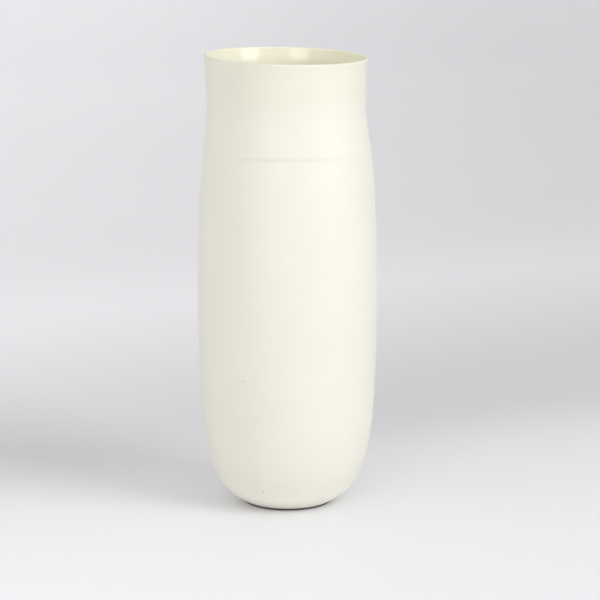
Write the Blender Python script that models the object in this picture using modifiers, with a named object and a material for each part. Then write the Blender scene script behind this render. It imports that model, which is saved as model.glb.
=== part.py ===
"""Hand-thrown porcelain bud vase, bare outside and glazed inside.

The vase is one turned body of clay with a thin coat of clear glaze fused to its inner
wall. Metres, +Z up. The origin is the centre of the foot, on the surface it stands on.
"""

import math

import bpy
from mathutils import Vector

MM = 0.001

# Driving dimensions.
HEIGHT = 180.8 * MM
BASE_RADIUS = 17.9 * MM
BELLY_RADIUS = 36 * MM
WAIST_RADIUS = 31.4 * MM
LIP_RADIUS = 32.4 * MM

# The tooled line round the shoulder: a soft ridge, and how far its shape spreads.
RIDGE_RADIUS = 33.3 * MM
RIDGE_HEIGHT = 144.6 * MM
RIDGE_FACE = 1.2 * MM
TOOLED_BELOW = 12 * MM
TOOLED_ABOVE = 6 * MM

# Turned foot: a low flat ring set in under the base, with a shallow hollow inside it.
FOOT_RADIUS = 17.4 * MM
FOOT_HEIGHT = 0.8 * MM
FOOT_RING_WIDTH = 3.5 * MM
FOOT_HOLLOW_DEPTH = 0.8 * MM
FOOT_HOLLOW_SIDE = 2.6 * MM

# Wall of clay and glaze together, square to the outer face, thinning from foot to lip.
WALL_AT_FOOT = 5.0 * MM
WALL_AT_HEEL = 3.6 * MM
WALL_AT_BELLY = 2.6 * MM
WALL_AT_NECK = 2.0 * MM
WALL_AT_LIP = 1.5 * MM
HEEL_HEIGHT = 13 * MM
LOWER_BELLY_HEIGHT = 49 * MM
FLOOR_HEIGHT = 4.4 * MM
FLOOR_FLAT_RADIUS = 9 * MM

# Coat of glaze inside, with the clearance that keeps the two solids apart.
GLAZE_THICKNESS = 0.4 * MM
GLAZE_CLEARANCE = 0.3 * MM
GLAZE_DROP_BELOW_LIP = 1.5 * MM

# What the potter's hands left: the neck leans, and the rim is cut out of level.
NECK_LEAN = -0.7 * MM
RIM_FALL = 0.75 * MM
NECK_START = 131 * MM

TURNING_STEPS = 60
CURVE_STEPS = 8
LIP_STEPS = 6
FOOT_STEPS = 4
OUTER_TURN = math.radians(7)
OUTER_SPAN = 12 * MM
INNER_TURN = math.radians(11)
INNER_SPAN = 20 * MM
SHARP_EDGE = math.radians(40)

MATTE_PORCELAIN = (0.86, 0.85, 0.78)
CLEAR_GLAZE = (0.87, 0.85, 0.70)


def blend(value, low, high):
    """0 below low, 1 above high, and a smooth step between."""
    t = min(max((value - low) / (high - low), 0), 1)
    return t * t * (3 - 2 * t)


def outer_stations():
    """(radius, height) of the outer face from the base's edge up to the root of the lip."""
    return [
        (BASE_RADIUS, FOOT_HEIGHT),
        (21.3 * MM, 2.8 * MM),
        (25.5 * MM, 6.3 * MM),
        (29.1 * MM, 11.8 * MM),
        (32.0 * MM, 20.8 * MM),
        (34.2 * MM, 34.8 * MM),
        (35.4 * MM, 55.8 * MM),
        (BELLY_RADIUS, 80.8 * MM),
        (35.7 * MM, 105.8 * MM),
        (34.9 * MM, 124.8 * MM),
        (34.05 * MM, 135.8 * MM),
        # The tooled line: a shallow groove with a soft ridge over it.
        (33.4 * MM, 140.4 * MM),
        (33.15 * MM, RIDGE_HEIGHT - RIDGE_FACE),
        (RIDGE_RADIUS, RIDGE_HEIGHT),
        (32.3 * MM, 150.3 * MM),
        (31.65 * MM, 156.3 * MM),
        (WAIST_RADIUS, 162.8 * MM),
        (31.6 * MM, 170.8 * MM),
        (31.9 * MM, 176.8 * MM),
        (LIP_RADIUS, HEIGHT - WALL_AT_LIP / 2),
    ]


def as_points(stations):
    """Stations as vectors in the XZ plane, where the profile is drawn."""
    return [Vector((radius, 0, height)) for radius, height in stations]


def smooth_through(points, steps):
    """Points on the Catmull-Rom curve through the given ones, with steps to each span."""
    ends = [2 * points[0] - points[1], *points, 2 * points[-1] - points[-2]]
    curve = []
    for before, start, end, after in zip(ends, ends[1:], ends[2:], ends[3:]):
        reach = (end - start).length
        leave = (end - before) * (reach / ((start - before).length + reach))
        arrive = (after - start) * (reach / ((after - end).length + reach))
        for step in range(steps):
            t = step / steps
            curve.append(
                start * (2 * t**3 - 3 * t**2 + 1)
                + leave * (t**3 - 2 * t**2 + t)
                + end * (3 * t**2 - 2 * t**3)
                + arrive * (t**3 - t**2)
            )
    return [*curve, points[-1].copy()]


def thinned(curve, most_turn, longest):
    """The curve with a point only where it has turned that far, or run the longest span."""
    kept = [curve[0]]
    turn = 0.0
    for before, point, after in zip(curve, curve[1:], curve[2:]):
        turn += (point - before).angle(after - point)
        if turn > most_turn or (after - kept[-1]).length > longest:
            kept.append(point)
            turn = 0.0
    return [*kept, curve[-1]]


def outer_face():
    """Outer face from the base's edge up to the root of the lip, closely spaced."""
    return smooth_through(as_points(outer_stations()), CURVE_STEPS)


def wall_at(height):
    """Thickness of clay and glaze together where the outer face has this height."""
    wall = WALL_AT_FOOT
    for to, low, high in (
        (WALL_AT_HEEL, 0, HEEL_HEIGHT),
        (WALL_AT_BELLY, HEEL_HEIGHT, LOWER_BELLY_HEIGHT),
        (WALL_AT_NECK, RIDGE_HEIGHT - TOOLED_BELOW, RIDGE_HEIGHT + TOOLED_ABOVE),
        (WALL_AT_LIP, RIDGE_HEIGHT + TOOLED_ABOVE, HEIGHT),
    ):
        wall += (to - wall) * blend(height, low, high)
    return wall


def inner_face(set_back):
    """Inside of the vase from the lip's root down to the axis, set back into the wall."""
    # The inside is a plain sweep, so its guide leaves out the tooled line.
    low = RIDGE_HEIGHT - TOOLED_BELOW
    high = RIDGE_HEIGHT + TOOLED_ABOVE
    plain = [point for point in outer_face() if not low < point.z < high]
    guide = thinned(plain, INNER_TURN, INNER_SPAN)
    wall = []
    for index, point in enumerate(guide):
        along = guide[min(index + 1, len(guide) - 1)] - guide[max(index - 1, 0)]
        inwards = Vector((-along.z, 0, along.x)).normalized()
        wall.append(point + inwards * (wall_at(point.z) - set_back))
    floor_height = FLOOR_HEIGHT - set_back
    floor = [Vector((FLOOR_FLAT_RADIUS, 0, floor_height)), Vector((0, 0, floor_height))]
    return [*wall[::-1], *floor]


def lip_over(outer_root, inner_root):
    """Half-round lip between the two faces' top points, from the inner one to the outer."""
    centre = (outer_root + inner_root) / 2
    across = outer_root - centre
    rise = Vector((0, 0, HEIGHT - centre.z))
    turns = [math.pi * step / LIP_STEPS for step in range(1, LIP_STEPS)]
    return [centre - across * math.cos(turn) + rise * math.sin(turn) for turn in turns]


def foot():
    """Underside inside the base's edge: the ring, then its shallow, soft-sided hollow."""
    ring_inside = FOOT_RADIUS - FOOT_RING_WIDTH
    side = [(FOOT_RADIUS, FOOT_HEIGHT), (FOOT_RADIUS, 0)]
    for step in range(FOOT_STEPS + 1):
        rise = blend(step, 0, FOOT_STEPS)
        radius = ring_inside - FOOT_HOLLOW_SIDE * step / FOOT_STEPS
        side.append((radius, FOOT_HOLLOW_DEPTH * rise))
    return as_points([*side, (0, FOOT_HOLLOW_DEPTH)])


def clay_profile():
    """Closed half-section of the clay, from the floor's centre over the lip to the foot."""
    outer = thinned(outer_face(), OUTER_TURN, OUTER_SPAN)
    lip_inside = outer[-1] - Vector((WALL_AT_LIP, 0, 0))
    glaze_top = HEIGHT - GLAZE_DROP_BELOW_LIP
    set_back = GLAZE_THICKNESS + GLAZE_CLEARANCE
    inner = [point for point in inner_face(set_back) if point.z < glaze_top - set_back]
    # The lip overhangs the top of the glaze by a small step in the clay.
    ledge = Vector((inner[0].x - set_back, 0, glaze_top + GLAZE_CLEARANCE))
    step = Vector((inner[0].x, 0, glaze_top + GLAZE_CLEARANCE))
    over_lip = lip_over(outer[-1], lip_inside)
    return [*inner[::-1], step, ledge, lip_inside, *over_lip, *outer[::-1], *foot()]


def glaze_profile():
    """Closed half-section of the glaze: its inner face up, then down against the clay."""
    glaze_top = HEIGHT - GLAZE_DROP_BELOW_LIP
    below_top = glaze_top - GLAZE_THICKNESS
    shown = [point for point in inner_face(0) if point.z < below_top]
    backed = [point for point in inner_face(GLAZE_THICKNESS) if point.z < below_top]
    crown = [
        Vector((shown[0].x, 0, glaze_top - GLAZE_THICKNESS / 2)),
        Vector((backed[0].x - GLAZE_THICKNESS / 2, 0, glaze_top)),
        Vector((backed[0].x, 0, glaze_top - GLAZE_THICKNESS / 2)),
    ]
    return [*shown[::-1], *crown, *backed]


def turned(name, profile, collection):
    """A solid of revolution about Z from a half-section that starts and ends on the axis."""
    mesh = bpy.data.meshes.new(name)
    edges = [(index, index + 1) for index in range(len(profile) - 1)]
    mesh.from_pydata(profile, edges, [])
    obj = bpy.data.objects.new(name, mesh)
    collection.objects.link(obj)
    screw = obj.modifiers.new("turning", "SCREW")
    screw.axis = "Z"
    screw.steps = TURNING_STEPS
    screw.render_steps = TURNING_STEPS
    screw.use_merge_vertices = True
    screw.merge_threshold = 0.01 * MM
    return obj


def settle_by_hand(obj):
    """Makes the turned shape a plain mesh, then leans its neck and tips its rim."""
    graph = bpy.context.evaluated_depsgraph_get()
    mesh = bpy.data.meshes.new_from_object(obj.evaluated_get(graph))
    obj.modifiers.clear()
    obj.data = mesh
    for vertex in mesh.vertices:
        share = blend(vertex.co.z, NECK_START, HEIGHT)
        vertex.co.z -= RIM_FALL * share * vertex.co.x / LIP_RADIUS
        vertex.co.x += NECK_LEAN * share
    mesh.shade_smooth()
    mesh.set_sharp_from_angle(angle=SHARP_EDGE)


def finish(name, colour, roughness):
    """A Principled material of one colour and roughness, not metallic."""
    material = bpy.data.materials.new(name)
    material.use_nodes = True
    shader = material.node_tree.nodes["Principled BSDF"]
    shader.inputs["Base Color"].default_value = (*colour, 1)
    shader.inputs["Roughness"].default_value = roughness
    shader.inputs["Metallic"].default_value = 0
    return material


def main():
    for obj in list(bpy.data.objects):
        bpy.data.objects.remove(obj)
    vase = bpy.data.collections.new("bud_vase")
    bpy.context.scene.collection.children.link(vase)
    for name, profile, material in (
        ("porcelain_body", clay_profile(), finish("matte_porcelain", MATTE_PORCELAIN, 0.6)),
        ("inner_glaze", glaze_profile(), finish("clear_glaze", CLEAR_GLAZE, 0.12)),
    ):
        obj = turned(name, profile, vase)
        settle_by_hand(obj)
        obj.data.materials.clear()
        obj.data.materials.append(material)


main()
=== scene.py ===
"""Looks of a hand-thrown porcelain bud vase, bare outside and glazed inside.

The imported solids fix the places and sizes. This script turns finer surfaces of the same
shape, adds the marks of the potter's hands, dresses the clay and the glaze, and lights them.
Lengths are in metres, heights are measured from the foot, and an azimuth is an angle round
the vase from its front (-Y) towards its right (+X).
"""

import logging
import math
from bisect import bisect_right
from collections.abc import Iterable, Sequence
from dataclasses import dataclass, field
from enum import Enum

import bmesh
import bpy
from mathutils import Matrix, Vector, noise


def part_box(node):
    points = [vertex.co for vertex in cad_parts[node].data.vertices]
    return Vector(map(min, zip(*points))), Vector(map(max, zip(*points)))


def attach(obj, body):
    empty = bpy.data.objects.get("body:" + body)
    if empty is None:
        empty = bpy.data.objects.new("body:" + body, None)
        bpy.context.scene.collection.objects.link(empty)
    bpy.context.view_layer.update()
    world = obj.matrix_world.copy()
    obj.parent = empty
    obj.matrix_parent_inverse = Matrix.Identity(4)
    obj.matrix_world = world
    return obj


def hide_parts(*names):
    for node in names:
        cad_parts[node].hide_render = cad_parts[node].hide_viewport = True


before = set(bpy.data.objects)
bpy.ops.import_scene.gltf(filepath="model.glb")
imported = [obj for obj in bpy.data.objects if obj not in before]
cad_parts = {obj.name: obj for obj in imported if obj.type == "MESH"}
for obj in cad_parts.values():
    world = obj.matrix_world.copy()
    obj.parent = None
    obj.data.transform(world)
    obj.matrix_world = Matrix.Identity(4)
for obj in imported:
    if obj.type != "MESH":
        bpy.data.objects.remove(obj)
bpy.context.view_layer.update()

MM = 0.001
LOG = logging.getLogger("bud_vase")
SHARP_EDGE = math.radians(50)
MERGE_DISTANCE = 0.001 * MM


class Node(Enum):
    """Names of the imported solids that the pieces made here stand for."""

    BODY = "porcelain_body"
    GLAZE = "inner_glaze"


class Slot(Enum):
    """Names of the record's material slots."""

    PORCELAIN = "bare_porcelain"
    GLAZE = "clear_glaze"


# ---------------------------------------------------------------------------
# Shape
# ---------------------------------------------------------------------------


class HeightCurve:
    """A length that changes smoothly with height, through a few stations."""

    def __init__(self, stations_mm: Sequence[tuple[float, float]], steps: int = 24) -> None:
        """Runs a smooth curve through the stations.

        Args:
            stations_mm: (height, value) pairs in millimetres, lowest first.
            steps: How many straight pieces stand for the curve between two stations.
        """
        points = [Vector(station) * MM for station in stations_mm]
        ends = [2 * points[0] - points[1], *points, 2 * points[-1] - points[-2]]
        curve = []
        for before, start, end, after in zip(ends, ends[1:], ends[2:], ends[3:]):
            reach = (end - start).length
            leave = (end - before) * (reach / ((start - before).length + reach))
            arrive = (after - start) * (reach / ((after - end).length + reach))
            for step in range(steps):
                t = step / steps
                curve.append(
                    start * (2 * t**3 - 3 * t**2 + 1)
                    + leave * (t**3 - 2 * t**2 + t)
                    + end * (3 * t**2 - 2 * t**3)
                    + arrive * (t**3 - t**2)
                )
        curve.append(points[-1])
        self.heights = [point.x for point in curve]
        self.values = [point.y for point in curve]

    def at(self, height: float) -> float:
        """Value at a height.

        Args:
            height: Height above the foot. Past either end, the end's value holds.

        Returns:
            The curve's value there, in metres.
        """
        above = bisect_right(self.heights, height)
        if above == 0:
            return self.values[0]
        if above == len(self.heights):
            return self.values[-1]
        low, high = self.heights[above - 1], self.heights[above]
        share = (height - low) / (high - low)
        return self.values[above - 1] * (1 - share) + self.values[above] * share


def smooth_step(value: float, low: float, high: float) -> float:
    """0 below low, 1 above high, and a smooth rise between.

    Args:
        value: The value tested.
        low: Where the rise starts.
        high: Where it ends.

    Returns:
        A share from 0 to 1.
    """
    t = min(max((value - low) / (high - low), 0.0), 1.0)
    return t * t * (3 - 2 * t)


def azimuth_of(point: Vector) -> float:
    """Angle round the vase, 0 at its front and positive towards its right."""
    return math.atan2(point.x, -point.y)


@dataclass(frozen=True)
class ToolMark:
    """The line cut round the shoulder: a soft ridge over a shallow groove."""

    low: float = 134 * MM
    high: float = 154 * MM
    crisp_from: float = math.radians(-42)
    crisp_to: float = math.radians(2)
    fade_left: float = math.radians(10)
    fade_right: float = math.radians(46)
    faintest: float = 0.35
    depth: HeightCurve = field(
        default_factory=lambda: HeightCurve(
            [
                (134, 0),
                (137.5, -0.04),
                (140, -0.20),
                (142.2, -0.30),
                (143.6, -0.22),
                (144.4, 0.12),
                (146.0, 0.19),
                (150, 0.07),
                (154, 0),
            ]
        )
    )

    def offset(self, height: float, azimuth: float) -> float:
        """How far the mark moves the outer face.

        Args:
            height: Height above the foot.
            azimuth: Angle round the vase.

        Returns:
            Distance outwards, negative in the groove.
        """
        if not self.low < height < self.high:
            return 0.0
        into = smooth_step(azimuth, self.crisp_from - self.fade_left, self.crisp_from)
        out = smooth_step(azimuth, self.crisp_to, self.crisp_to + self.fade_right)
        share = self.faintest + (1 - self.faintest) * into * (1 - out)
        return self.depth.at(height) * share


@dataclass(frozen=True)
class HandMarks:
    """How far the thrown wall strays from a true turning, clay and glaze together."""

    neck_lean: float = -0.7 * MM
    rim_fall: float = 0.75 * MM
    neck_start: float = 131 * MM
    neck_end: float = 180.8 * MM
    lip_radius: float = 32.4 * MM
    rim_waver: float = 0.06 * MM
    rim_waver_turn: float = 1.0
    out_of_round: float = 0.08 * MM
    out_of_round_turn: float = 0.6
    waver: float = 0.05 * MM
    waver_length: float = 28 * MM

    def settle(self, point: Vector) -> Vector:
        """Moves a point of the true turning to where the wall really stands.

        Args:
            point: A point of either piece.

        Returns:
            The point after leaning, tipping and wavering.
        """
        azimuth = azimuth_of(point)
        share = smooth_step(point.z, self.neck_start, self.neck_end)
        rise = smooth_step(point.z, 0, self.neck_start)
        outwards = Vector((point.x, point.y, 0))
        radius = outwards.length
        if radius > 0:
            outwards /= radius
        wave = noise.noise(point / self.waver_length) * self.waver
        oval = math.cos(2 * azimuth + self.out_of_round_turn) * self.out_of_round * share
        tilt = -self.rim_fall * point.x / self.lip_radius
        uneven = math.sin(3 * azimuth + self.rim_waver_turn) * self.rim_waver
        moved = point + outwards * (wave * rise + oval) * min(radius / self.lip_radius, 1)
        moved.z += (tilt + uneven) * share
        moved.x += self.neck_lean * share
        return moved


@dataclass(frozen=True)
class Rings:
    """Faint spiral rings left by the fingers as the wall was pulled up."""

    pitch: float
    depth: float
    drift_in_pitches: float = 2.3
    patch_length: float = 35 * MM
    patch_shift: tuple[float, float, float] = (7, 3, 5)
    mean_strength: float = 0.6
    patchiness: float = 0.8

    def offset(self, point: Vector) -> float:
        """How far the rings move a point of the wall outwards.

        Args:
            point: A point of the wall.

        Returns:
            Distance outwards, strongest in patches.
        """
        turns = point.z / self.pitch + azimuth_of(point) / math.tau
        drift = noise.noise(Vector((0, 0, point.z)) / (self.drift_in_pitches * self.pitch))
        patch = noise.noise(point / self.patch_length + Vector(self.patch_shift))
        strength = self.mean_strength + self.patchiness * patch
        return self.depth * strength * math.cos(math.tau * (turns + drift))


@dataclass
class Wall:
    """The half-section that the clay and the glaze share."""

    top: float
    hand: HandMarks = field(default_factory=HandMarks)
    tool_mark: ToolMark = field(default_factory=ToolMark)
    foot_height: float = 0.8 * MM
    turned_under: float = 10 * MM
    rings_fade: float = 30 * MM
    floor_height: float = 4.4 * MM
    floor_flat_radius: float = 9 * MM
    lip_thickness: float = 1.2 * MM
    lip_steps: int = 14
    glaze_thickness: float = 0.4 * MM
    glaze_taper: float = 6 * MM
    glaze_edge_share: float = 0.1
    glaze_end: float = math.radians(65)
    radius: HeightCurve = field(
        default_factory=lambda: HeightCurve(
            [
                (0.8, 17.9),
                (2.8, 21.3),
                (6.3, 25.5),
                (11.8, 29.1),
                (20.8, 32.0),
                (34.8, 34.2),
                (55.8, 35.4),
                (80.8, 35.95),
                (105.8, 35.65),
                (124.8, 34.85),
                (135.8, 34.0),
                (143.8, 33.2),
                (150.3, 32.35),
                (156.3, 31.7),
                (162.8, 31.4),
                (170.8, 31.6),
                (176.8, 31.9),
                (180.2, 32.4),
            ]
        )
    )
    thickness: HeightCurve = field(
        default_factory=lambda: HeightCurve(
            [(0.8, 5.0), (13, 3.6), (49, 2.6), (133, 2.5), (151, 2.0), (173, 1.6), (180.2, 1.2)]
        )
    )

    def heights(self, spacing: float, fine_spacing: float) -> list[float]:
        """Heights of the rows of points up the wall.

        Args:
            spacing: Distance between rows on the plain wall.
            fine_spacing: Distance where the wall turns under, and at the tooled line.

        Returns:
            Heights from the base's edge to the root of the lip.
        """
        rows = []
        height = self.foot_height
        lip_root = self.top - self.lip_thickness / 2
        while height < lip_root - fine_spacing:
            rows.append(height)
            near_mark = self.tool_mark.low < height < self.tool_mark.high
            height += fine_spacing if near_mark or height < self.turned_under else spacing
        return [*rows, lip_root]

    def outside(self, spacing: float, fine_spacing: float) -> list[Vector]:
        """Outer half of the section, from the base's edge to the root of the lip."""
        rows = self.heights(spacing, fine_spacing)
        return [Vector((self.radius.at(row), 0, row)) for row in rows]

    def lip(self, start: float, end: float) -> list[Vector]:
        """Part of the half-round lip.

        Args:
            start: Angle where the part starts, 0 at the lip's inner root.
            end: Angle where it ends, pi at the outer root.

        Returns:
            Points over the lip, both ends included.
        """
        half = self.lip_thickness / 2
        root = self.top - half
        middle = self.radius.at(root) - half
        points = []
        for step in range(self.lip_steps + 1):
            turn = start + (end - start) * step / self.lip_steps
            away = Vector((-math.cos(turn), 0, math.sin(turn)))
            points.append(Vector((middle, 0, root)) + away * half)
        return points

    def inside(self, spacing: float) -> list[Vector]:
        """Face of the glaze.

        Args:
            spacing: Distance between its points up the wall.

        Returns:
            Points from the floor's centre to where the glaze ends on the lip.
        """
        guide = self.outside(spacing, spacing)
        wall = []
        for point, before, after in zip(guide[1:-1], guide, guide[2:]):
            along = after - before
            inwards = Vector((-along.z, 0, along.x)).normalized()
            wall.append(point + inwards * self.thickness.at(point.z))
        centre = Vector((0, 0, self.floor_height))
        flat = Vector((self.floor_flat_radius, 0, self.floor_height))
        return [centre, flat, *wall, *self.lip(0, self.glaze_end)]

    def behind_glaze(self, spacing: float, gap: float) -> list[Vector]:
        """The glaze's face set back by the coat's thickness, which thins out at the lip.

        Args:
            spacing: Distance between the face's points.
            gap: What the set-back adds to the thickness.

        Returns:
            As many points as the face has, in its order.
        """
        face = self.inside(spacing)
        to_end = 0.0
        behind = []
        for index in range(len(face) - 1, -1, -1):
            after = face[min(index + 1, len(face) - 1)]
            along = after - face[max(index - 1, 0)]
            to_end += (after - face[index]).length
            share = self.glaze_edge_share
            share += (1 - share) * smooth_step(to_end, 0, self.glaze_taper)
            into_clay = Vector((along.z, 0, -along.x)).normalized()
            behind.append(face[index] + into_clay * (self.glaze_thickness * share + gap))
        return behind[::-1]

    def mark(self, mesh: bmesh.types.BMesh, rings: Rings) -> None:
        """Leaves the hand's and the tool's marks in a turned mesh.

        Args:
            mesh: The mesh, which is changed.
            rings: The rings that this piece shows.
        """
        for vertex in mesh.verts:
            point = vertex.co
            flat = Vector((point.x, point.y, 0))
            if flat.length > self.radius.at(self.foot_height):
                offset = rings.offset(point) * smooth_step(point.z, 0, self.rings_fade)
                middle = self.radius.at(point.z) - self.thickness.at(point.z) / 2
                if flat.length > middle:
                    offset += self.tool_mark.offset(point.z, azimuth_of(point))
                point += flat.normalized() * offset
            vertex.co = self.hand.settle(point)


def turned(outline: Iterable[Vector], steps: int) -> bmesh.types.BMesh:
    """Spins a half-section round the Z axis.

    Args:
        outline: Points in the XZ plane, which start and end on the axis for a closed piece.
        steps: Steps in a full turn.

    Returns:
        A mesh with its faces pointing out.
    """
    mesh = bmesh.new()
    chain = [mesh.verts.new(point) for point in outline]
    edges = [mesh.edges.new(pair) for pair in zip(chain, chain[1:])]
    bmesh.ops.spin(
        mesh,
        geom=[*chain, *edges],
        cent=(0, 0, 0),
        axis=(0, 0, 1),
        angle=math.tau,
        steps=steps,
        use_merge=True,
    )
    bmesh.ops.remove_doubles(mesh, verts=mesh.verts, dist=MERGE_DISTANCE)
    bmesh.ops.recalc_face_normals(mesh, faces=mesh.faces)
    return mesh


def as_object(
    name: str, mesh: bmesh.types.BMesh, material: bpy.types.Material
) -> bpy.types.Object:
    """Makes a smooth-shaded object of a mesh.

    Args:
        name: The object's name.
        mesh: The mesh, which is freed.
        material: The finish of all its faces.

    Returns:
        The object, at the origin.
    """
    data = bpy.data.meshes.new(name)
    mesh.to_mesh(data)
    mesh.free()
    data.materials.append(material)
    data.shade_smooth()
    data.set_sharp_from_angle(angle=SHARP_EDGE)
    obj = bpy.data.objects.new(name, data)
    bpy.context.scene.collection.objects.link(obj)
    return obj


# ---------------------------------------------------------------------------
# Finishes
# ---------------------------------------------------------------------------

Colour = tuple[float, float, float]
Size = tuple[float, float, float]

# Nearly all of a noise's values lie in this span.
NOISE_SPAN = (0.3, 0.7)


class FinishNodes:
    """The node tree of one finish, with the few kinds of node that the finishes share."""

    def __init__(self, name: str) -> None:
        """Starts a material with a Principled shader and Object coordinates.

        Args:
            name: The material's name.
        """
        self.material = bpy.data.materials.new(name)
        self.material.use_nodes = True
        self.tree = self.material.node_tree
        self.shader = self.tree.nodes["Principled BSDF"]
        self.place = self.add("ShaderNodeTexCoord").outputs["Object"]

    def add(
        self, kind: str, inputs: dict[str | int, object] | None = None, **settings: object
    ) -> bpy.types.Node:
        """Adds a node.

        Args:
            kind: The node's type.
            inputs: Input name or number to a value, or to the socket that feeds it.
            settings: Properties of the node itself.

        Returns:
            The node.
        """
        node = self.tree.nodes.new(kind)
        for name, value in settings.items():
            setattr(node, name, value)
        for key, value in (inputs or {}).items():
            if isinstance(value, bpy.types.NodeSocket):
                self.tree.links.new(value, node.inputs[key])
            else:
                node.inputs[key].default_value = value
        return node

    def grain(self, size: Sequence[float], detail: float = 2.0) -> bpy.types.NodeSocket:
        """Noise from 0 to 1.

        Args:
            size: Length of its grains along X, Y and Z.
            detail: How many finer octaves it has.

        Returns:
            The noise's output.
        """
        scale = [1 / length for length in size]
        place = self.add("ShaderNodeMapping", {"Vector": self.place, "Scale": scale})
        spots = self.add(
            "ShaderNodeTexNoise",
            {"Vector": place.outputs["Vector"], "Scale": 1.0, "Detail": detail},
        )
        return spots.outputs["Fac"]

    def spread(self, source: bpy.types.NodeSocket, low: float, high: float) -> bpy.types.NodeSocket:
        """Maps the middle of a noise's range to a span of values.

        Args:
            source: The noise's output.
            low: Where the span starts.
            high: Where it ends.

        Returns:
            The mapped value.
        """
        start, end = NOISE_SPAN
        mapped = self.add(
            "ShaderNodeMapRange",
            {"Value": source, "From Min": start, "From Max": end, "To Min": low, "To Max": high},
        )
        return mapped.outputs["Result"]

    def ease(
        self,
        source: bpy.types.NodeSocket,
        across: tuple[float, float],
        values: tuple[float, float] = (0, 1),
    ) -> bpy.types.NodeSocket:
        """Changes smoothly from one value to another as a source crosses a span.

        Args:
            source: The number that is followed.
            across: Where the change starts and ends.
            values: What comes out before and after it.

        Returns:
            The eased value.
        """
        eased = self.add(
            "ShaderNodeMapRange",
            {
                "Value": source,
                "From Min": across[0],
                "From Max": across[1],
                "To Min": values[0],
                "To Max": values[1],
            },
            interpolation_type="SMOOTHSTEP",
        )
        return eased.outputs["Result"]

    def mix(self, share: object, first: object, second: object) -> bpy.types.NodeSocket:
        """Blends two colours.

        Args:
            share: How much of the second colour is taken, a number or a socket.
            first: An RGBA value or a socket.
            second: An RGBA value or a socket.

        Returns:
            The blended colour.
        """
        # The Mix node repeats its socket names for each kind of value, so colours go by number.
        blend = self.add("ShaderNodeMix", data_type="RGBA")
        for number, value in ((0, share), (6, first), (7, second)):
            if isinstance(value, bpy.types.NodeSocket):
                self.tree.links.new(value, blend.inputs[number])
            else:
                blend.inputs[number].default_value = value
        return blend.outputs[2]

    def maths(self, operation: str, first: object, second: object) -> bpy.types.NodeSocket:
        """One Math node on two numbers, each a value or a socket."""
        return self.add("ShaderNodeMath", {0: first, 1: second}, operation=operation).outputs[0]

    def relief(self, layers: Iterable[tuple[bpy.types.NodeSocket, float]]) -> None:
        """Feeds the shader's normal with bumps.

        Args:
            layers: Each bump's height socket and its depth.
        """
        normal = None
        for height, depth in layers:
            bump = self.add("ShaderNodeBump", {"Height": height, "Distance": depth})
            if normal is not None:
                self.tree.links.new(normal, bump.inputs["Normal"])
            normal = bump.outputs["Normal"]
        self.tree.links.new(normal, self.shader.inputs["Normal"])


@dataclass(frozen=True)
class IronSpeck:
    """A grain of iron that burnt to a faint dot in the clay.

    The dot has its full colour out to core and none past rim, both as shares of its diameter.
    """

    azimuth_deg: float
    height: float
    diameter: float
    core: float = 0.25
    rim: float = 0.65

    def centre(self, wall: Wall) -> Vector:
        """Finds the speck's place on the outer face.

        Args:
            wall: The wall that it lies on.

        Returns:
            The speck's centre.
        """
        radius = wall.radius.at(self.height)
        azimuth = math.radians(self.azimuth_deg)
        return Vector((math.sin(azimuth) * radius, -math.cos(azimuth) * radius, self.height))


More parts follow.
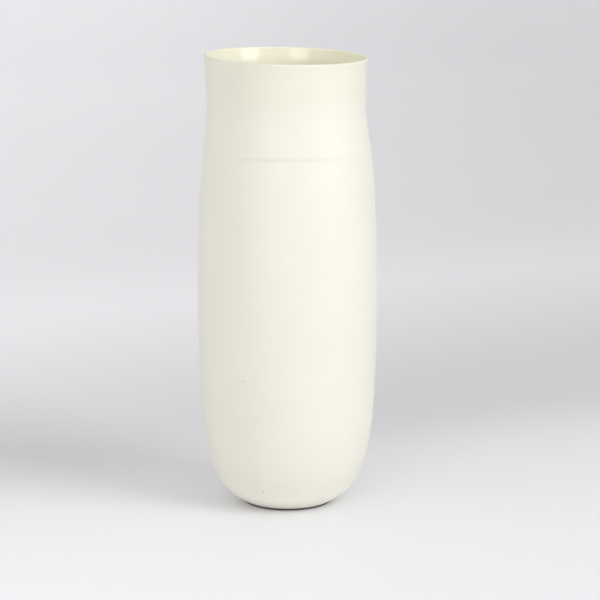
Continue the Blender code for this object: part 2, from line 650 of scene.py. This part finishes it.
@dataclass(frozen=True)
class BarePorcelain:
    """Unglazed porcelain, rubbed smooth: matte, with a faint sheen."""

    wall: Wall
    pale: Colour = (0.793, 0.777, 0.683)
    warm: Colour = (0.783, 0.76, 0.657)
    at_neck: Colour = (0.768, 0.754, 0.635)
    # Painted light: the clay is painted lighter toward the base edge, standing in for light thrown
    # up from the floor.
    painted_base_light: Colour = (0.92, 0.90, 0.81)
    # Painted shadow: the underside is painted nearly black, so the gap under the base edge reads
    # dark.
    painted_gap_shadow: Colour = (0.06, 0.04, 0.03)
    speck: Colour = (0.61, 0.58, 0.49)
    neck_blend: tuple[float, float] = (154 * MM, 170 * MM)
    base_light_blend: tuple[float, float] = (14 * MM, 1.5 * MM)
    underside_margin: float = 0.01 * MM
    cloud_size: Size = (30 * MM, 30 * MM, 22 * MM)
    streak_size: Size = (60 * MM, 60 * MM, 1.6 * MM)
    streak_detail: float = 3.0
    streak_depth: float = 0.03 * MM
    powder_size: Size = (0.5 * MM, 0.5 * MM, 0.5 * MM)
    powder_depth: float = 0.012 * MM
    roughness_span: tuple[float, float] = (0.46, 0.55)
    translucency: float = 0.2
    light_reach: Size = (1.0, 0.85, 0.6)
    light_reach_scale: float = 1.2 * MM
    specks: tuple[IronSpeck, ...] = (
        IronSpeck(-29, 56.5 * MM, 0.8 * MM),
        IronSpeck(-20.2, 10.5 * MM, 1.0 * MM),
        IronSpeck(74, 98 * MM, 0.6 * MM),
        IronSpeck(128, 31 * MM, 0.9 * MM),
        IronSpeck(171, 116 * MM, 0.7 * MM),
        IronSpeck(-96, 71 * MM, 0.7 * MM),
        IronSpeck(-141, 152 * MM, 0.5 * MM),
    )

    def material(self) -> bpy.types.Material:
        """Builds the finish's material.

        Returns:
            The material.
        """
        nodes = FinishNodes("bare_porcelain")
        shader = nodes.shader.inputs
        streak = nodes.grain(self.streak_size, self.streak_detail)
        powder = nodes.grain(self.powder_size)
        nodes.tree.links.new(self.clay(nodes), shader["Base Color"])
        rough = nodes.spread(streak, *self.roughness_span)
        nodes.tree.links.new(rough, shader["Roughness"])
        nodes.relief([(streak, self.streak_depth), (powder, self.powder_depth)])
        shader["Subsurface Weight"].default_value = self.translucency
        shader["Subsurface Radius"].default_value = self.light_reach
        shader["Subsurface Scale"].default_value = self.light_reach_scale
        return nodes.material

    def clay(self, nodes: FinishNodes) -> bpy.types.NodeSocket:
        """The clay's colour: clouded, warmer up the neck, with painted light toward the base edge
        and painted shadow, nearly black, below it.

        Args:
            nodes: The tree that the colour is added to.

        Returns:
            The colour's output.
        """
        cloud = nodes.spread(nodes.grain(self.cloud_size), 0, 1)
        colour = nodes.mix(cloud, (*self.pale, 1), (*self.warm, 1))
        height = nodes.add("ShaderNodeSeparateXYZ", {0: nodes.place}).outputs["Z"]
        up_neck = nodes.ease(height, self.neck_blend)
        colour = nodes.mix(up_neck, colour, (*self.at_neck, 1))
        # Painted light: the colour lightens toward the base edge.
        base_light_share = nodes.ease(height, self.base_light_blend)
        colour = nodes.mix(base_light_share, colour, (*self.painted_base_light, 1))
        colour = nodes.mix(self.speck_mask(nodes), colour, (*self.speck, 1))
        # Painted shadow: everything below the base edge is painted nearly black.
        below = self.wall.foot_height - self.underside_margin
        shadowed_underside = nodes.maths("LESS_THAN", height, below)
        return nodes.mix(shadowed_underside, colour, (*self.painted_gap_shadow, 1))

    def speck_mask(self, nodes: FinishNodes) -> bpy.types.NodeSocket:
        """1 inside a speck and 0 away from them all, with soft edges.

        Args:
            nodes: The tree that the mask is added to.

        Returns:
            The mask's output.
        """
        mask: object = 0.0
        for speck in self.specks:
            away = nodes.add(
                "ShaderNodeVectorMath",
                {0: nodes.place, 1: speck.centre(self.wall)},
                operation="DISTANCE",
            )
            edge = (speck.core * speck.diameter, speck.rim * speck.diameter)
            dot = nodes.ease(away.outputs["Value"], edge, (1, 0))
            mask = nodes.maths("MAXIMUM", mask, dot)
        return mask


@dataclass(frozen=True)
class ClearGlaze:
    """Glossy clear glaze over the clay, a little yellower than the bare clay."""

    thin: Colour = (0.94, 0.919, 0.75)
    pooled: Colour = (0.92, 0.888, 0.675)
    pool_size: Size = (18 * MM, 18 * MM, 26 * MM)
    ripple_size: Size = (9 * MM, 9 * MM, 6 * MM)
    ripple_detail: float = 1.0
    ripple_depth: float = 0.12 * MM
    roughness_span: tuple[float, float] = (0.12, 0.17)

    def material(self) -> bpy.types.Material:
        """Builds the finish's material.

        Returns:
            The material.
        """
        nodes = FinishNodes("clear_glaze")
        pool = nodes.spread(nodes.grain(self.pool_size), 0, 1)
        colour = nodes.mix(pool, (*self.thin, 1), (*self.pooled, 1))
        nodes.tree.links.new(colour, nodes.shader.inputs["Base Color"])
        ripple = nodes.grain(self.ripple_size, self.ripple_detail)
        rough = nodes.spread(ripple, *self.roughness_span)
        nodes.tree.links.new(rough, nodes.shader.inputs["Roughness"])
        nodes.relief([(ripple, self.ripple_depth)])
        return nodes.material


@dataclass(frozen=True)
class PalePaper:
    """Smooth pale paper of the studio's floor and walls, with painted light and shade in its
    colour.
    """

    colour: Colour = (0.893, 0.895, 0.906)
    tooth_size: Size = (3 * MM, 3 * MM, 3 * MM)
    tooth_depth: float = 0.01 * MM
    roughness: float = 0.55
    slant: float = 0.45
    # Painted falloff: the paper is painted lighter on the left and darker on the right.
    side_reach: float = 0.32
    painted_side_falloff: float = 0.085
    near: float = -0.2
    far: float = 1.4
    # Painted light and shade along the depth: a painted shadow band just behind the vase, brighter
    # bands farther back.
    painted_shade_tones: tuple[tuple[float, float], ...] = (
        (-0.1, 1.04),
        (0.0, 1.00),
        (0.05, 0.94),
        (0.095, 0.81),
        (0.145, 0.765),
        (0.26, 0.87),
        (0.38, 1.00),
        (0.44, 1.03),
        (0.55, 0.965),
        (0.75, 0.98),
        (1.3, 1.06),
    )

    def material(self) -> bpy.types.Material:
        """Builds the finish's material.

        Returns:
            The material.
        """
        nodes = FinishNodes("pale_paper")
        nodes.relief([(nodes.grain(self.tooth_size), self.tooth_depth)])
        along = nodes.add("ShaderNodeSeparateXYZ", {0: nodes.place}).outputs
        aslant = nodes.maths("MULTIPLY", along["X"], -self.slant)
        depth = nodes.maths("ADD", along["Y"], aslant)
        # Painted shade across the paper, darker from left to right.
        reach = (-self.side_reach, self.side_reach)
        side_shade = nodes.ease(along["X"], reach, (1 + self.painted_side_falloff, 1 - self.painted_side_falloff))
        toned = nodes.add(
            "ShaderNodeVectorMath",
            {0: self.tone(nodes, depth), "Scale": side_shade},
            operation="SCALE",
        )
        nodes.tree.links.new(toned.outputs["Vector"], nodes.shader.inputs["Base Color"])
        nodes.shader.inputs["Roughness"].default_value = self.roughness
        return nodes.material

    def tone(self, nodes: FinishNodes, depth: bpy.types.NodeSocket) -> bpy.types.NodeSocket:
        """The paper's colour along its depth, with bands of painted shadow and painted light.

        Args:
            nodes: The tree that the colour is added to.
            depth: Distance behind the vase.

        Returns:
            The colour's output.
        """
        share = nodes.add(
            "ShaderNodeMapRange",
            {"Value": depth, "From Min": self.near, "From Max": self.far},
        )
        ramp = nodes.add("ShaderNodeValToRGB", {"Fac": share.outputs["Result"]})
        ramp.color_ramp.interpolation = "B_SPLINE"
        stops = ramp.color_ramp.elements
        for number, (place, tone) in enumerate(self.painted_shade_tones):
            position = (place - self.near) / (self.far - self.near)
            stop = stops[number] if number < 2 else stops.new(position)
            stop.position = position
            stop.color = (*(channel * tone for channel in self.colour), 1)
        return ramp.outputs["Color"]


# ---------------------------------------------------------------------------
# Pieces
# ---------------------------------------------------------------------------


@dataclass
class PorcelainBody:
    """The fired clay: foot, floor, wall, tooled line, neck and lip."""

    wall: Wall
    turning_steps: int = 240
    spacing: float = 1.2 * MM
    fine_spacing: float = 0.4 * MM
    inner_spacing: float = 1.5 * MM
    foot_radius: float = 17.4 * MM
    foot_ring_width: float = 3.5 * MM
    foot_hollow_depth: float = 0.8 * MM
    foot_hollow_side: float = 2.6 * MM
    foot_steps: int = 10
    glaze_gap: float = 0.02 * MM
    rings: Rings = Rings(pitch=5.2 * MM, depth=0.012 * MM)

    def foot(self) -> list[Vector]:
        """Underside inside the base's edge.

        Returns:
            Points over the foot's ring and its shallow hollow, to the axis.
        """
        ring_inside = self.foot_radius - self.foot_ring_width
        points = [Vector((self.foot_radius, 0, rise)) for rise in (self.wall.foot_height, 0)]
        for step in range(self.foot_steps + 1):
            rise = smooth_step(step, 0, self.foot_steps)
            radius = ring_inside - self.foot_hollow_side * step / self.foot_steps
            points.append(Vector((radius, 0, self.foot_hollow_depth * rise)))
        return [*points, Vector((0, 0, self.foot_hollow_depth))]

    def outline(self) -> list[Vector]:
        """Half-section of the clay.

        Returns:
            Points from the floor's centre over the lip to the foot's centre.
        """
        inner = self.wall.behind_glaze(self.inner_spacing, self.glaze_gap)
        lip = self.wall.lip(self.wall.glaze_end, math.pi)
        outer = self.wall.outside(self.spacing, self.fine_spacing)
        return [*inner, *lip, *outer[-2::-1], *self.foot()]

    def build(self, finish: BarePorcelain) -> bpy.types.Object:
        """Turns, marks and dresses the clay.

        Args:
            finish: The clay's finish.

        Returns:
            The finished piece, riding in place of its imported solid.
        """
        mesh = turned(self.outline(), self.turning_steps)
        self.wall.mark(mesh, self.rings)
        piece = as_object("thrown_porcelain", mesh, finish.material())
        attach(piece, "root")
        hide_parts(Node.BODY.value)
        return piece


@dataclass
class GlazeCoat:
    """The coat of glaze inside, from the floor to the lip."""

    wall: Wall
    turning_steps: int = 240
    spacing: float = 1.5 * MM
    rings: Rings = Rings(pitch=6.5 * MM, depth=0.05 * MM)

    def outline(self) -> list[Vector]:
        """Half-section of the glaze, up its face and down its back."""
        back = self.wall.behind_glaze(self.spacing, 0)
        return [*self.wall.inside(self.spacing), *back[::-1]]

    def build(self, finish: ClearGlaze) -> bpy.types.Object:
        """Turns, marks and dresses the glaze.

        Args:
            finish: The glaze's finish.

        Returns:
            The finished piece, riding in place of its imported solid.
        """
        mesh = turned(self.outline(), self.turning_steps)
        self.wall.mark(mesh, self.rings)
        piece = as_object("glaze_coat", mesh, finish.material())
        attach(piece, "root")
        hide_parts(Node.GLAZE.value)
        return piece


# ---------------------------------------------------------------------------
# Studio
# ---------------------------------------------------------------------------


@dataclass(frozen=True)
class SoftBox:
    """A soft rectangular light, hung round the point that it is aimed at."""

    name: str
    azimuth_deg: float
    elevation_deg: float
    width: float
    height: float
    power: float
    colour: Colour = (1.0, 1.0, 1.0)
    distance: float = 1.5

    def hang(self, target: Vector) -> bpy.types.Object:
        """Hangs the light.

        Args:
            target: The point that it is aimed at.

        Returns:
            The light, which the camera doesn't see.
        """
        azimuth = math.radians(self.azimuth_deg)
        elevation = math.radians(self.elevation_deg)
        away = Vector(
            (
                math.sin(azimuth) * math.cos(elevation),
                -math.cos(azimuth) * math.cos(elevation),
                math.sin(elevation),
            )
        )
        light = bpy.data.lights.new(self.name, "AREA")
        light.shape = "RECTANGLE"
        light.size = self.width
        light.size_y = self.height
        light.energy = self.power
        light.color = self.colour
        lamp = bpy.data.objects.new(self.name, light)
        lamp.location = target + away * self.distance
        lamp.rotation_euler = (-away).to_track_quat("-Z", "Y").to_euler()
        lamp.visible_camera = False
        bpy.context.scene.collection.objects.link(lamp)
        return lamp


@dataclass
class Studio:
    """Pale sweep all round the vase, soft boxes and an even sky above."""

    target: Vector
    floor_radius: float = 1.7
    cove_radius: float = 0.8
    wall_height: float = 2.6
    cove_steps: int = 16
    turning_steps: int = 96
    sky: Colour = (1.0, 0.985, 0.99)
    sky_strength: float = 0.7
    boxes: tuple[SoftBox, ...] = (
        SoftBox("key_box", 57.5, 26, 0.7, 1.3, power=11.5, colour=(0.975, 1.0, 1.03)),
        SoftBox("front_box", -20, 15, 0.65, 0.6, power=4.0, colour=(1.0, 0.985, 0.975)),
        SoftBox("side_box", -70, 20, 0.8, 1.0, power=1.4, colour=(1.0, 0.975, 0.965)),
    )
    wash: SoftBox = SoftBox("wall_wash", 0, 42, 1.8, 0.5, power=1.5, distance=1.3)
    wash_aim: Vector = field(default_factory=lambda: Vector((-0.7, 2.4, 0.7)))

    def sweep(self, finish: PalePaper) -> bpy.types.Object:
        """Builds the floor, which curves up into a round wall.

        Args:
            finish: The paper's finish.

        Returns:
            The sweep.
        """
        turns = [math.pi / 2 * step / self.cove_steps for step in range(self.cove_steps + 1)]
        reach, rise = self.floor_radius, self.cove_radius
        cove = [
            Vector((reach + rise * math.sin(turn), 0, rise * (1 - math.cos(turn))))
            for turn in turns
        ]
        outline = [Vector((0, 0, 0)), *cove, Vector((reach + rise, 0, self.wall_height))]
        mesh = turned(outline, self.turning_steps)
        bmesh.ops.reverse_faces(mesh, faces=mesh.faces)
        floor = as_object("sweep", mesh, finish.material())
        return floor

    def light(self) -> None:
        """Hangs the soft boxes and sets the sky."""
        for box in self.boxes:
            box.hang(self.target)
        self.wash.hang(self.wash_aim)
        world = bpy.data.worlds.new("sky")
        world.use_nodes = True
        backdrop = world.node_tree.nodes["Background"]
        backdrop.inputs["Color"].default_value = (*self.sky, 1)
        backdrop.inputs["Strength"].default_value = self.sky_strength
        bpy.context.scene.world = world


@dataclass(frozen=True)
class Viewpoint:
    """Where the vase is seen from: in front, a little above, with a long lens."""

    distance: float = 1.0
    height: float = 0.2902
    pitch_deg: float = 11.73
    yaw_deg: float = 0.286
    lens_mm: float = 152.8
    sensor_mm: float = 36
    nearest: float = 0.01
    farthest: float = 20

    def set_up(self) -> bpy.types.Object:
        """Makes the camera and gives it to the scene.

        Returns:
            The camera.
        """
        data = bpy.data.cameras.new("camera")
        data.sensor_width = self.sensor_mm
        data.lens = self.lens_mm
        data.clip_start = self.nearest
        data.clip_end = self.farthest
        camera = bpy.data.objects.new("camera", data)
        camera.location = (0, -self.distance, self.height)
        camera.rotation_euler = (math.radians(90 - self.pitch_deg), 0, -math.radians(self.yaw_deg))
        bpy.context.scene.collection.objects.link(camera)
        bpy.context.scene.camera = camera
        return camera


def report(piece: bpy.types.Object) -> None:
    """Logs a piece's name and how many faces it has."""
    LOG.info("%s: %d faces", piece.name, len(piece.data.polygons))


def main() -> None:
    """Builds the vase's pieces in order, then the studio and the camera."""
    logging.basicConfig(level=logging.INFO, format="%(name)s: %(message)s")
    low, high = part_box(Node.BODY.value)
    hand = HandMarks()
    wall = Wall(top=high.z - hand.rim_fall, hand=hand)
    Viewpoint().set_up()
    report(PorcelainBody(wall).build(BarePorcelain(wall)))
    report(GlazeCoat(wall).build(ClearGlaze()))
    studio = Studio(target=(low + high) / 2)
    report(studio.sweep(PalePaper()))
    studio.light()
    bpy.context.scene.view_settings.view_transform = "Standard"


if __name__ == "__main__":
    main()
